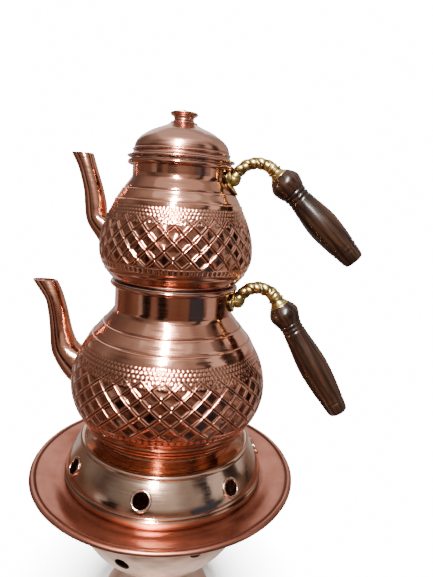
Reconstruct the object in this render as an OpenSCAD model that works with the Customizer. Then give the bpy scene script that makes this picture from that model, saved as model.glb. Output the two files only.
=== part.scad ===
// Copper double teapot on a brazier stand with a wide tray.
// The origin is the centre of the foot's resting face. +Z is up, handles point to +X.

/* [Sheet metal] */
// Thickness of every spun copper sheet
sheet = 1.2; // [0.8:0.1:1.6]
// Radius of the rolled bead at each rim
bead_r = 2.2; // [1.6:0.1:2.4]
// Radius of the wire rolled into each bead
wire_r = 0.9; // [0.6:0.1:1]
// Gap between stacked pieces whose curved faces meet
seat_gap = 0.3; // [0.3:0.1:0.6]

/* [Bowl and foot] */
// Radius of the bowl at its widest
bowl_r = 84; // [74:1:90]
// Height of the bowl's lowest point above the table
bowl_clear = 42; // [34:1:50]
// Radius of the flat in the bowl's bottom
bowl_flat_r = 22; // [20:1:24]
// Height of the bowl's straight upper wall
bowl_wall_h = 12; // [9:1:20]
// Width of the inward flange that carries the tray
flange_w = 12; // [10:1:14]
// Number of air holes in the bowl
air_hole_n = 8; // [4:2:10]
// Radius of the air holes in the bowl
air_hole_r = 6.5; // [4:0.5:8]
// Depth of the lower air holes below the bowl's widest level
air_hole_drop = 35; // [28:1:40]
// How far every other air hole stands above the lower ones
air_hole_step = 17; // [0:0.5:24]
// Radius of the foot where it meets the table
foot_r = 52; // [46:1:62]
// Radius of the foot where it meets the bowl
foot_top_r = 27; // [25:1:32]
// Radius of the foot's narrowest point
foot_waist_r = 23; // [20:1:26]

/* [Tray] */
// Width of the brim outside the dome
brim_w = 30; // [22:1:38]
// Rise of the tray's edge above its flat
tray_rise = 6; // [3:1:10]
// Width of the turned border at the tray's edge
border_w = 5; // [4:0.5:7]
// Flat of the tray that shows outside the dome
tray_ledge = 3; // [2:0.5:5]
// Number of rivets that hold the tray to the bowl
tray_rivet_n = 6; // [4:1:10]

/* [Dome] */
// How far the dome's skirt stands outside the bowl's wall
skirt_margin = 6; // [4:1:14]
// Height of the kettle's seat above the tray's flat
dome_h = 33.2; // [28:0.4:42]
// Width of the dome's top outside the kettle's base
crest_margin = 15; // [12:1:18]
// Overlap of the kettle's base on the seat ring
seat_overlap = 5; // [3:0.5:8]
// Radius of each vent hole
vent_r = 6.75; // [5:0.25:8]
// Width of the raised lip round each vent
vent_lip = 1.1; // [0.8:0.1:1.6]
// Number of vents in the dome
vent_n = 7; // [5:1:8]

/* [Kettle] */
// Radius of the kettle's base
kettle_base_r = 61.4; // [54:0.2:68]
// Height of the kettle's foot wall
kettle_foot_h = 10.8; // [8:0.2:14]
// Radius of the kettle's belly
kettle_belly_r = 86; // [79:1:95]
// Height of the belly's widest level above the base
kettle_belly_h = 53.4; // [48:0.2:60]
// Radius of the kettle's neck
kettle_neck_r = 51.2; // [46:0.2:54]
// Height of the neck's lower end above the base
kettle_neck_h = 119; // [112:1:130]
// Height of the kettle's straight neck
kettle_neck_len = 25.4; // [23:0.2:32]

/* [Teapot] */
// Depth of the plug that drops into the kettle's neck
plug_h = 9.7; // [7:0.1:14]
// Clearance round the plug
plug_gap = 0.8; // [0.4:0.1:1.5]
// Radius of the teapot's belly
teapot_belly_r = 65.4; // [60:0.2:72]
// Height of the belly's widest level above the shoulder
teapot_belly_h = 25.3; // [22:0.1:30]
// Radius of the teapot's neck
teapot_neck_r = 40.3; // [36:0.1:44]
// Height of the neck's lower end above the shoulder
teapot_neck_h = 84; // [76:1:92]
// Height of the teapot's straight neck
teapot_neck_len = 14; // [13.5:0.1:18]

/* [Lid] */
// Radius of the lid's dome just above its brim
lid_dome_r = 40; // [37:0.5:42]
// Height of the lid's dome above its brim's underside
lid_dome_h = 29; // [26:1:36]
// Depth of the collar that centres the lid
collar_h = 8.5; // [6:0.5:11]
// Clearance round the collar
collar_gap = 0.9; // [0.4:0.1:1.5]
// Radius of the knob's flanges
knob_r = 11.5; // [9:0.5:14]
// Height of the knob
knob_h = 10.6; // [8:0.2:14]

/* [Handles] */
// Radius of the kettle's cast arm
kettle_arm_r = 5.6; // [4.6:0.1:6]
// Radius of the kettle arm's bend
kettle_bend_r = 18; // [16:0.5:20]
// Slope of the kettle's grip below level, in degrees
kettle_grip_slope = 56; // [50:1:62]
// Length of the kettle's grip
kettle_grip_len = 106; // [90:1:125]
// Radius of the teapot's cast arm
teapot_arm_r = 5; // [4.4:0.1:5.4]
// Radius of the teapot arm's bend
teapot_bend_r = 19.5; // [17:0.5:21]
// Slope of the teapot's grip below level, in degrees
teapot_grip_slope = 43; // [38:1:50]
// Length of the teapot's grip
teapot_grip_len = 92; // [78:1:110]
// Radius of the grips' bulb
bulb_r = 12.8; // [11:0.2:14]
// Radius of the grips' waist
waist_r = 9.6; // [8:0.2:11]
// Radius of the grips' swelling
swell_r = 12.8; // [11:0.2:14]
// Radius of the rod through each grip
rod_r = 2.5; // [2:0.1:3]
// Thickness of the riveted plates
plate_t = 3; // [2:0.5:4]

/* [Spouts] */
// Thickness of the spouts' sheet
spout_t = 1.2; // [0.8:0.1:1.6]
// Radius of each strainer hole behind a spout
strain_r = 2.2; // [1.5:0.1:2.6]

/* [Burner] */
// Radius of the spirit cup
cup_r = 19; // [16:0.5:19.5]
// Height of the spirit cup
cup_h = 32; // [24:1:40]
// Radius of the wick
wick_r = 4; // [3:0.5:6]

/* [Hidden] */
$fn = 96;

copper = [0.80, 0.45, 0.34];
pale_copper = [0.78, 0.60, 0.50];
brass = [0.78, 0.62, 0.30];
dark_wood = [0.22, 0.11, 0.07];
steel = [0.70, 0.71, 0.72];

// Small fixed sizes
slack = 1;                // how far cutting tools run past a face
foot_bead = 1.6;          // half the foot's edge thickness
wall_lap = 0.2;           // how far a rim's bead bites into its wall
rivet_r = 1.5;            // shank of every rivet
rivet_head_r = 2.2;       // head of every rivet
rivet_head_h = 1.1;       // height of every rivet head
plate_reach = 9;          // half the height of a handle plate
plate_lobe_r = 5;         // lobes of a handle plate
rivet_side = 7;           // rivets' distance either side of the arm
ferrule_len = 7;          // cone between an arm and its grip
ferrule_r = 8.3;          // widest part of that cone
boss_step = 0.5;          // step from the bend up to its boss and its ferrule
rod_fit = 0.1;            // gap between a rod and its grip
nut_r = 5;                // end nut of a grip
nut_h = 4;
nut_fit = 0.3;            // gap round the nut in its recess
air_hole_turn = -99;     // bearing of the first hole in the bowl
vent_turn = -87;          // bearing of the first vent in the dome
vent_tilt = 31;           // how far the vents look up
bend_steps = 8;           // chords in each curved stretch of a profile
neck_flare_h = 1.3;       // flare where the teapot's shoulder meets its neck
flare_rise = 0.32;        // rise of a plate's face above that flare, per plate_t

// Heights of the stack, from the table up
bowl_mid_z = bowl_clear + bowl_r;
tray_flat_z = bowl_mid_z + bowl_wall_h;
tray_edge_z = tray_flat_z + tray_rise;
skirt_r = bowl_r + skirt_margin;
tray_r = skirt_r + brim_w;
dome_seat_z = tray_flat_z + dome_h;
kettle_z = dome_seat_z;
kettle_bead_z = kettle_z + kettle_neck_h + kettle_neck_len;
kettle_bead_ring = kettle_neck_r + bead_r - wall_lap;
teapot_z = kettle_bead_z + bead_r + seat_gap;
teapot_bead_z = teapot_z + teapot_neck_h + teapot_neck_len;
teapot_bead_ring = teapot_neck_r + bead_r - wall_lap;
lid_z = teapot_bead_z + bead_r + seat_gap;
plug_r = kettle_neck_r - sheet - plug_gap;
collar_r = teapot_neck_r - sheet - collar_gap;
burner_z = bowl_mid_z - sqrt(bowl_r * bowl_r - bowl_flat_r * bowl_flat_r) + sheet;

// ---- curves and lathe work ----

// Points of a cubic curve, leaving out its first point
function curve(a, b, c, d, n = bend_steps) = [for (i = [1:n]) let (t = i / n, s = 1 - t)
    s * s * s * a + 3 * s * s * t * b + 3 * s * t * t * c + t * t * t * d];

// Smooth run through a list of stations of any dimension
function through(p, n) = concat([p[0]], [for (i = [0:len(p) - 2]) for (k = [1:n])
    let (t = k / n, a = p[max(i - 1, 0)], b = p[i], c = p[i + 1],
        d = p[min(i + 2, len(p) - 1)])
    0.5 * (2 * b + (c - a) * t + (2 * a - 5 * b + 4 * c - d) * t * t
        + (3 * b - a - 3 * c + d) * t * t * t)]);

function unit(v) = v / norm(v);
function left_of(v) = [-v[1], v[0]];
function reverse(p) = [for (i = [len(p) - 1:-1:0]) p[i]];

// A path moved sideways by d, to the left of its direction
function beside(p, d) = [for (i = [0:len(p) - 1])
    let (u = unit(p[min(i + 1, len(p) - 1)] - p[min(i, len(p) - 2)]),
        v = unit(p[max(i, 1)] - p[max(i - 1, 0)]),
        m = unit(left_of(u) + left_of(v)))
    p[i] + m * d / (m * left_of(v))];

// Turned sheet whose outer face is the path, walked upwards
module spun(path, t = sheet) {
    rotate_extrude() polygon(concat(path, reverse(beside(path, t))));
}

// Everything inside the path
module spun_solid(path) {
    rotate_extrude() polygon(concat(path, [[0, path[len(path) - 1][1]]]));
}

// Ring of round section
module ring(r, z, section_r) {
    translate([0, 0, z]) rotate_extrude() translate([r, 0]) circle(section_r);
}

// Rolled bead round a rim, hollow for its wire
module rolled_bead(r, z) {
    difference() {
        ring(r, z, bead_r);
        ring(r, z, wire_r);
    }
}

// Domed rivet along +X, gripping from x0 to x1
module rivet(x0, x1) {
    root = rivet_head_h / 2;
    translate([x0 - root, 0, 0]) rotate([0, 90, 0])
        cylinder(h = x1 - x0 + 2 * root, r = rivet_r);
    dome_r = (rivet_head_r * rivet_head_r + rivet_head_h * rivet_head_h)
        / (2 * rivet_head_h);
    for (side = [[x0, -1], [x1, 1]]) translate([side[0], 0, 0]) rotate([0, side[1] * 90, 0])
        intersection() {
            translate([0, 0, rivet_head_h - dome_r]) sphere(dome_r);
            cylinder(h = rivet_head_h, r = rivet_head_r + slack);
        }
}

// ---- stand ----

function bowl_height_at(r) = bowl_mid_z - sqrt(bowl_r * bowl_r - r * r);

// Outer face of the bowl, from its centre up to its flange
function bowl_path() = concat(
    [[0, bowl_height_at(bowl_flat_r)], [bowl_flat_r, bowl_height_at(bowl_flat_r)]],
    [for (i = [1:16]) let (a0 = asin(bowl_flat_r / bowl_r), a = a0 + (90 - a0) * i / 16)
        [bowl_r * sin(a), bowl_mid_z - bowl_r * cos(a)]],
    [[bowl_r, tray_flat_z - sheet]]);

module lower_bowl() {
    color(pale_copper) difference() {
        union() {
            spun(bowl_path());
            translate([0, 0, tray_flat_z - 2 * sheet]) difference() {
                cylinder(h = sheet, r = bowl_r);
                translate([0, 0, -slack])
                    cylinder(h = sheet + 2 * slack, r = bowl_r - flange_w);
            }
        }
        for (k = [0:air_hole_n - 1]) rotate([0, 0, air_hole_turn + k * 360 / air_hole_n])
            translate([bowl_r / 2, 0, bowl_mid_z - air_hole_drop + (k % 2) * air_hole_step])
                rotate([0, 90, 0]) cylinder(h = bowl_r, r = air_hole_r);
        tray_rivet_holes();
    }
}

// Flared foot, from the bowl down to the table
module foot() {
    top_z = bowl_height_at(foot_top_r);
    path = concat([[foot_r, 0], [foot_r, 2 * foot_bead]],
        curve([foot_r, 2 * foot_bead], [foot_r - 8, 2 * foot_bead + 1.5],
            [foot_waist_r + 1, 0.3 * top_z], [foot_waist_r, 0.72 * top_z]),
        [[foot_top_r, top_z + slack]]);
    color(pale_copper) difference() {
        union() {
            spun(path);
            difference() {
                cylinder(h = 2 * foot_bead, r = foot_r);
                translate([0, 0, -slack])
                    cylinder(h = 2 * foot_bead + 2 * slack, r = foot_r - 4);
            }
        }
        spun_solid(bowl_path());
    }
}

// Upper face of the tray, from its hole out to the border's crease
function tray_path() = let (crease_r = tray_r - border_w, flat_r = skirt_r + tray_ledge)
    concat([[bowl_r - flange_w, tray_flat_z], [flat_r, tray_flat_z]],
        curve([flat_r, tray_flat_z], [flat_r + 6, tray_flat_z + 0.2],
            [crease_r - 12, tray_edge_z - 2], [crease_r, tray_edge_z - 1]),
        curve([crease_r, tray_edge_z - 1], [crease_r + 1, tray_edge_z],
            [tray_r - bead_r - 1, tray_edge_z + 0.2], [tray_r - bead_r, tray_edge_z]));

module tray() {
    color(copper) difference() {
        union() {
            rotate_extrude() polygon(concat(tray_path(), reverse(beside(tray_path(), -sheet))));
            rolled_bead(tray_r - bead_r, tray_edge_z - bead_r);
        }
        ring(tray_r - bead_r, tray_edge_z - bead_r, wire_r);
        tray_rivet_holes();
    }
}

module tray_rim_wire() {
    color(steel) ring(tray_r - bead_r, tray_edge_z - bead_r, wire_r);
}

module at_tray_rivets() {
    for (k = [0:tray_rivet_n - 1]) rotate([0, 0, k * 360 / tray_rivet_n])
        translate([bowl_r - flange_w + 5, 0, 0]) children();
}

module tray_rivet_holes() {
    at_tray_rivets() translate([0, 0, tray_flat_z - 2 * sheet - slack])
        cylinder(h = 2 * sheet + 2 * slack, r = rivet_r);
}

module tray_rivets() {
    color(copper) at_tray_rivets() translate([0, 0, tray_flat_z - 2 * sheet])
        rotate([0, -90, 0]) rivet(0, 2 * sheet);
}

// ---- spirit burner in the bowl ----

module burner_cup() {
    color(steel) translate([0, 0, burner_z]) difference() {
        cylinder(h = cup_h, r = cup_r);
        translate([0, 0, sheet]) cylinder(h = cup_h, r = cup_r - sheet);
    }
}

module burner_collar() {
    color(brass) translate([0, 0, burner_z + cup_h]) difference() {
        union() {
            cylinder(h = sheet, r = cup_r);
            cylinder(h = 5, r = wick_r + 1.5);
            translate([0, 0, -3]) cylinder(h = 3 + sheet, r = cup_r - sheet);
        }
        translate([0, 0, -3 - slack]) cylinder(h = 8 + 2 * slack, r = wick_r);
        translate([0, 0, -3 - slack]) difference() {
            cylinder(h = 3 + slack, r = cup_r - 2 * sheet);
            cylinder(h = 3 + slack, r = wick_r + 1.5);
        }
    }
}

module burner_wick() {
    color("ivory") translate([0, 0, burner_z + sheet]) cylinder(h = cup_h + 9, r = wick_r);
}

// ---- vented dome ----

// Outer face of the dome, from the skirt up and in to the kettle's seat
function dome_path() = let (crest_r = kettle_base_r + crest_margin, z = tray_flat_z)
    concat([[skirt_r, z], [skirt_r, z + 2.5]],
        curve([skirt_r, z + 2.5], [skirt_r, z + 0.42 * dome_h],
            [crest_r + 7, dome_seat_z - 9], [crest_r + 0.8, dome_seat_z]),
        curve([crest_r + 0.8, dome_seat_z], [crest_r + 2.4, dome_seat_z + 2.4],
            [crest_r - 1, dome_seat_z + 5], [crest_r - 4, dome_seat_z + 2.8]),
        [[kettle_base_r + 3, dome_seat_z], [kettle_base_r - seat_overlap, dome_seat_z]]);

// Radius of the dome's wall at the level of its vents
function vent_level() = tray_flat_z + 0.62 * dome_h;
function vent_ring() = skirt_r - 0.37 * (skirt_r - kettle_base_r - crest_margin);

module at_vents() {
    for (k = [0:vent_n - 1]) rotate([0, 0, vent_turn + k * 360 / vent_n])
        translate([vent_ring(), 0, vent_level()]) rotate([0, 90 - vent_tilt, 0]) children();
}

module stand_dome() {
    color([0.80, 0.62, 0.50]) difference() {
        union() {
            spun(dome_path());
            at_vents() translate([0, 0, -3]) cylinder(h = 4, r = vent_r + vent_lip);
        }
        at_vents() translate([0, 0, -10]) cylinder(h = 20, r = vent_r);
    }
}

// ---- pots ----

// Outer face of the kettle, from the middle of its base to its rim
function kettle_path() = let (z = kettle_z, edge_r = kettle_base_r + 3,
        belly_z = z + kettle_belly_h, neck_z = z + kettle_neck_h, start = [edge_r + 4.4,
        z + kettle_foot_h + 3])
    concat([[0, z], [kettle_base_r, z], [edge_r, z + kettle_foot_h], start],
        curve(start, start + [8.7, 11], [kettle_belly_r, belly_z - 14],
            [kettle_belly_r, belly_z]),
        curve([kettle_belly_r, belly_z], [kettle_belly_r, belly_z + 30],
            [kettle_neck_r + 14.2, neck_z - 17.7], [kettle_neck_r + 1.2, neck_z]),
        [[kettle_neck_r, neck_z + 1.8], [kettle_neck_r, kettle_bead_z]]);

// Outer face of the teapot, from the middle of its plug to its rim
function teapot_path() = let (z = teapot_z, belly_z = z + teapot_belly_h,
        neck_z = z + teapot_neck_h, start = [kettle_bead_ring, z])
    concat([[0, z - plug_h], [plug_r - 1, z - plug_h], [plug_r, z - plug_h + 1],
        [plug_r, z], start],
        curve(start, start + [7, 5.5], [teapot_belly_r, belly_z - 9],
            [teapot_belly_r, belly_z]),
        curve([teapot_belly_r, belly_z], [teapot_belly_r, belly_z + 22],
            [teapot_neck_r + 11.3, neck_z - 14.7], [teapot_neck_r + 0.9, neck_z]),
        [[teapot_neck_r, neck_z + neck_flare_h], [teapot_neck_r, teapot_bead_z]]);

// Seven holes through the wall behind a spout, along -X
module strainer_holes(r, z) {
    spots = concat([[0, 0]], [for (a = [0:60:300]) 3 * strain_r * [cos(a), sin(a)]]);
    for (s = spots) translate([-r - 8, s[0], z + s[1]]) rotate([0, 90, 0])
        cylinder(h = 20, r = strain_r);
}

// Body of a pot, open for its rivets and its strainer
module pot(path, neck_r, bead_ring, bead_z, rivet_z, strain_z, belly_r) {
    difference() {
        union() {
            spun(path);
            rolled_bead(bead_ring, bead_z);
        }
        ring(bead_ring, bead_z, wire_r);
        at_handle_rivets(neck_r, rivet_z) rotate([0, 90, 0])
            translate([0, 0, neck_r - 2 * sheet]) cylinder(h = 4 * sheet, r = rivet_r);
        strainer_holes(belly_r, strain_z);
    }
}

kettle_strain_z = kettle_z + kettle_belly_h - 1;
teapot_strain_z = teapot_z + teapot_belly_h + 8;
kettle_plate_z = kettle_bead_z - 12.6;
teapot_plate_z = teapot_bead_z - 13.9;
kettle_rivet_z = kettle_plate_z;
teapot_rivet_z = teapot_z + teapot_neck_h + neck_flare_h + flare_rise * plate_t
    + rivet_head_r + seat_gap;

module kettle_body() {
    color(copper) pot(kettle_path(), kettle_neck_r, kettle_bead_ring, kettle_bead_z,
        kettle_rivet_z, kettle_strain_z, kettle_belly_r);
}

module teapot_body() {
    color(copper) pot(teapot_path(), teapot_neck_r, teapot_bead_ring, teapot_bead_z,
        teapot_rivet_z, teapot_strain_z, teapot_belly_r);
}

module kettle_rim_wire() {
    color(steel) ring(kettle_bead_ring, kettle_bead_z, wire_r);
}

module teapot_rim_wire() {
    color(steel) ring(teapot_bead_ring, teapot_bead_z, wire_r);
}

// ---- spouts ----

spout_sides = 24;

// One closed ring of a spout: station = [radius, height, slope, half depth, half width]
function spout_ring(s, t) = [for (j = [0:spout_sides - 1]) let (a = 360 * j / spout_sides,
        u = (s[3] - t) * cos(a))
    [s[0] + u * sin(s[2]), (s[4] - t) * sin(a), s[1] - u * cos(s[2])]];

// Open tube of sheet metal through its stations
module spout_tube(stations) {
    path = through(stations, 3);
    m = spout_sides;
    n = len(path);
    points = concat([for (s = path) each spout_ring(s, 0)],
        [for (s = path) each spout_ring(s, spout_t)]);
    inner = n * m;
    walls = [for (i = [0:n - 2]) for (j = [0:m - 1]) let (a = i * m + j,
            b = i * m + (j + 1) % m, c = a + m, d = b + m)
        each [[a, b, d], [a, d, c], [inner + b, inner + a, inner + d],
            [inner + a, inner + c, inner + d]]];
    ends = [for (j = [0:m - 1]) let (k = (j + 1) % m, top = (n - 1) * m)
        each [[inner + j, k, j], [inner + j, inner + k, k],
            [top + j, top + k, inner + top + j], [top + k, inner + top + k, inner + top + j]]];
    polyhedron(points, concat(walls, ends));
}

module kettle_spout() {
    r = kettle_belly_r;
    z = kettle_z + kettle_belly_h;
    color(copper) difference() {
        rotate([0, 0, 180]) spout_tube([
            [r - 8, z - 3, 25, 19, 17], [r + 5, z + 5, 38, 16, 15],
            [r + 16, z + 17.5, 65, 13, 12.5], [r + 19.5, z + 29.5, 82, 11, 10.5],
            [r + 21.4, z + 39.5, 83, 9.9, 9.5], [r + 23.8, z + 52.5, 76, 9.2, 8.8],
            [r + 28, z + 66.5, 70, 8.8, 8.3], [r + 37, z + 80.5, 90, 12, 7.6]]);
        spun_solid(kettle_path());
    }
}

module teapot_spout() {
    r = teapot_belly_r;
    z = teapot_z + teapot_belly_h;
    color(copper) difference() {
        rotate([0, 0, 180]) spout_tube([
            [r - 8, z + 5.6, 25, 14, 13], [r + 0.6, z + 13.6, 40, 11, 11],
            [r + 8, z + 22.6, 68, 9.8, 9.5], [r + 9.8, z + 34.6, 85, 9.8, 8.8],
            [r + 12, z + 46.6, 78, 8.8, 8.2], [r + 15.6, z + 58.6, 73, 8.2, 7.8],
            [r + 19, z + 68.6, 74, 8.3, 7.5], [r + 23, z + 77, 90, 9.9, 7.2]]);
        spun_solid(teapot_path());
    }
}

// ---- handles ----

module at_handle_rivets(neck_r, z) {
    for (side = [-1, 1]) rotate([0, 0, side * asin(rivet_side / neck_r)])
        translate([0, 0, z]) children();
}

// Where a grip starts: [x, z] at the far end of the ferrule
function grip_start(neck_r, arm_r, bend_r, bend_z, slope) =
    [arm_root_x(neck_r, arm_r) + bend_r + bend_r * sin(slope) + ferrule_len * cos(slope),
        bend_z + bend_r * cos(slope) - ferrule_len * sin(slope)];
function arm_root_x(neck_r, arm_r) = neck_r + arm_r - 0.4;

module along_grip(start, slope) {
    translate([start[0], 0, start[1]]) rotate([0, 90 + slope, 0]) children();
}

// Cast arm: lobed plate on the neck, bend, and ferrule bored for the rod
module handle_arm(path, neck_r, plate_z, rivet_z, arm_r, bend_r, bend_z, slope) {
    start = grip_start(neck_r, arm_r, bend_r, bend_z, slope);
    bend_x = arm_root_x(neck_r, arm_r) + bend_r;
    upper = [for (p = path) if (p[1] > plate_z - 3 * plate_reach) p];
    first = 165;
    last = 90 - slope;
    difference() {
        union() {
            intersection() {
                rotate_extrude() polygon(concat(beside(upper, -plate_t), reverse(beside(upper, wall_lap))));
                union() {
                    translate([0, 0, plate_z]) rotate([0, 90, 0])
                        cylinder(h = 2 * neck_r, r = plate_reach);
                    at_handle_rivets(neck_r, rivet_z) rotate([0, 90, 0])
                        cylinder(h = 2 * neck_r, r = plate_lobe_r);
                }
            }
            translate([bend_x, 0, bend_z]) rotate([90, 0, 0]) rotate([0, 0, last])
                rotate_extrude(angle = first - last) translate([bend_r, 0]) circle(arm_r);
            translate([bend_x + bend_r * cos(first), 0, bend_z + bend_r * sin(first)])
                sphere(arm_r + boss_step);
            along_grip(start, slope) translate([0, 0, -ferrule_len - boss_step])
                cylinder(h = ferrule_len + boss_step, r1 = arm_r + boss_step, r2 = ferrule_r);
        }
        spun_solid(path);
        at_handle_rivets(neck_r, rivet_z) rotate([0, 90, 0])
            translate([0, 0, neck_r - slack]) cylinder(h = plate_t + 6, r = rivet_r);
        along_grip(start, slope) translate([0, 0, -ferrule_len - 2])
            cylinder(h = ferrule_len + 3, r = rod_r);
    }
}

// Rivets through the plate and the pot's neck
module handle_rivets(neck_r, rivet_z) {
    inner_r = neck_r - sheet;
    at_handle_rivets(neck_r, rivet_z)
        rivet(sqrt(inner_r * inner_r - rivet_head_r * rivet_head_r), neck_r + plate_t);
}

// Turned wooden grip, bored for its rod and recessed for its nut
module grip(length) {
    half = through([[bulb_r - 3.6, 0], [bulb_r, 8], [waist_r, 23.5],
        [swell_r, 0.58 * length], [swell_r - 3.6, length - 5], [swell_r - 6, length]], 5);
    difference() {
        rotate_extrude() polygon(concat([[0, 0]], half, [[0, length]]));
        translate([0, 0, -slack]) cylinder(h = length + 2 * slack, r = rod_r + rod_fit);
        translate([0, 0, length - nut_h]) cylinder(h = nut_h + slack, r = nut_r + nut_fit);
    }
}

module grip_rod(length) {
    translate([0, 0, -ferrule_len - 2]) cylinder(h = ferrule_len + 2 + length, r = rod_r);
}

// Round nut with a domed face
module grip_nut(length) {
    difference() {
        translate([0, 0, length - nut_h]) cylinder(h = nut_h, r = nut_r);
        translate([0, 0, length - nut_h - slack])
            cylinder(h = nut_h + 2 * slack, r = rod_r);
    }
}

kettle_bend_z = kettle_bead_z - 16.1;
teapot_bend_z = teapot_bead_z - 15.1;
kettle_grip_at = grip_start(kettle_neck_r, kettle_arm_r, kettle_bend_r, kettle_bend_z,
    kettle_grip_slope);
teapot_grip_at = grip_start(teapot_neck_r, teapot_arm_r, teapot_bend_r, teapot_bend_z,
    teapot_grip_slope);

module kettle_handle_arm() {
    color(brass) handle_arm(kettle_path(), kettle_neck_r, kettle_plate_z, kettle_rivet_z,
        kettle_arm_r, kettle_bend_r, kettle_bend_z, kettle_grip_slope);
}

module teapot_handle_arm() {
    color(brass) handle_arm(teapot_path(), teapot_neck_r, teapot_plate_z, teapot_rivet_z,
        teapot_arm_r, teapot_bend_r, teapot_bend_z, teapot_grip_slope);
}

module kettle_handle_rivets() {
    color(brass) handle_rivets(kettle_neck_r, kettle_rivet_z);
}

module teapot_handle_rivets() {
    color(brass) handle_rivets(teapot_neck_r, teapot_rivet_z);
}

module kettle_grip() {
    color(dark_wood) along_grip(kettle_grip_at, kettle_grip_slope) grip(kettle_grip_len);
}

module kettle_grip_rod() {
    color(steel) along_grip(kettle_grip_at, kettle_grip_slope) grip_rod(kettle_grip_len);
}

module kettle_grip_nut() {
    color(brass) along_grip(kettle_grip_at, kettle_grip_slope) grip_nut(kettle_grip_len);
}

module teapot_grip() {
    color(dark_wood) along_grip(teapot_grip_at, teapot_grip_slope) grip(teapot_grip_len);
}

module teapot_grip_rod() {
    color(steel) along_grip(teapot_grip_at, teapot_grip_slope) grip_rod(teapot_grip_len);
}

module teapot_grip_nut() {
    color(brass) along_grip(teapot_grip_at, teapot_grip_slope) grip_nut(teapot_grip_len);
}

// ---- lid ----

brim_r = teapot_bead_ring + bead_r + 0.5;
lid_top_z = lid_z + lid_dome_h;
knob_base_r = 3;

// Outer face of the lid, from the brim's edge up to the hole for the knob's rivet
function lid_path() = concat([[brim_r, lid_z], [brim_r, lid_z + sheet + 0.6]],
    curve([brim_r, lid_z + sheet + 0.6], [brim_r - 0.6, lid_z + 3.6],
        [lid_dome_r + 0.4, lid_z + 3.8], [lid_dome_r, lid_z + 6.5], 5),
    curve([lid_dome_r, lid_z + 6.5], [lid_dome_r - 1.4, lid_z + 13],
        [lid_dome_r - 4.5, lid_top_z - 12], [lid_dome_r - 12.5, lid_top_z - 7.2]),
    curve([lid_dome_r - 12.5, lid_top_z - 7.2], [lid_dome_r - 18, lid_top_z - 4],
        [knob_r + 4, lid_top_z - 2.5], [knob_r + 0.5, lid_top_z], 4),
    [[rivet_r, lid_top_z]]);

module lid_shell() {
    color(copper) union() {
        spun(lid_path());
        translate([0, 0, lid_z]) difference() {
            cylinder(h = sheet, r = brim_r);
            translate([0, 0, -slack]) cylinder(h = sheet + 2 * slack, r = collar_r - sheet);
        }
    }
}

module lid_collar() {
    color(copper) translate([0, 0, lid_z - collar_h]) difference() {
        cylinder(h = collar_h, r = collar_r);
        translate([0, 0, -slack]) cylinder(h = collar_h + 2 * slack, r = collar_r - sheet);
    }
}

module lid_knob() {
    waist = knob_r - 2.4;
    half = concat([[rivet_r, 0], [knob_r, 0], [knob_r, 0.9]],
        curve([knob_r, 0.9], [waist + 0.4, 1.6], [waist, 0.3 * knob_h],
            [waist, 0.45 * knob_h], 5),
        curve([waist, 0.45 * knob_h], [waist, 0.65 * knob_h], [knob_r - 0.8, 0.7 * knob_h],
            [knob_r, 0.8 * knob_h], 5),
        [[knob_r - 0.2, 0.92 * knob_h], [knob_r - 1.4, knob_h], [rivet_r, knob_h]]);
    color(copper) translate([0, 0, lid_top_z]) rotate_extrude() polygon(half);
}

module lid_knob_rivet() {
    color(copper) translate([0, 0, lid_top_z - sheet]) rotate([0, -90, 0])
        rivet(0, knob_h + sheet);
}

foot();
lower_bowl();
tray();
tray_rim_wire();
tray_rivets();
burner_cup();
burner_collar();
burner_wick();
stand_dome();
kettle_body();
kettle_rim_wire();
kettle_spout();
kettle_handle_arm();
kettle_handle_rivets();
kettle_grip();
kettle_grip_rod();
kettle_grip_nut();
teapot_body();
teapot_rim_wire();
teapot_spout();
teapot_handle_arm();
teapot_handle_rivets();
teapot_grip();
teapot_grip_rod();
teapot_grip_nut();
lid_shell();
lid_collar();
lid_knob();
lid_knob_rivet();
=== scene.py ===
"""A copper double teapot on its brazier stand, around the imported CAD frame. Metres."""
import math

import bmesh
import bpy
import numpy as np
from mathutils import Matrix, Vector


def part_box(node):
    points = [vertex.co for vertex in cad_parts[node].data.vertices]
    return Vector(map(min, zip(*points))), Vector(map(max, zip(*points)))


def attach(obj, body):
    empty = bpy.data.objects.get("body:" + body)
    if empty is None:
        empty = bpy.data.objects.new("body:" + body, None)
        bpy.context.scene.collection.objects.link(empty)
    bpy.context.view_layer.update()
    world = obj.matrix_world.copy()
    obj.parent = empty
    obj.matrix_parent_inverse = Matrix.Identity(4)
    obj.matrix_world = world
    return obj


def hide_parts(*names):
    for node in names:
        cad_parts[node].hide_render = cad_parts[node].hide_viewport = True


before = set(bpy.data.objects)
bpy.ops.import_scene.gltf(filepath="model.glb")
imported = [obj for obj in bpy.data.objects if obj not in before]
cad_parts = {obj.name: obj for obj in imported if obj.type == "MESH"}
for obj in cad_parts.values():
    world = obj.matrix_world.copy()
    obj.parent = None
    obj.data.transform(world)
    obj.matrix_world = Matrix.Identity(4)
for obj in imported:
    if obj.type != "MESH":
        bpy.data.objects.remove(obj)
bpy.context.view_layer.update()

MM = 0.001
TAU = 2 * math.pi


# ---------------------------------------------------------------- camera

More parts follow.
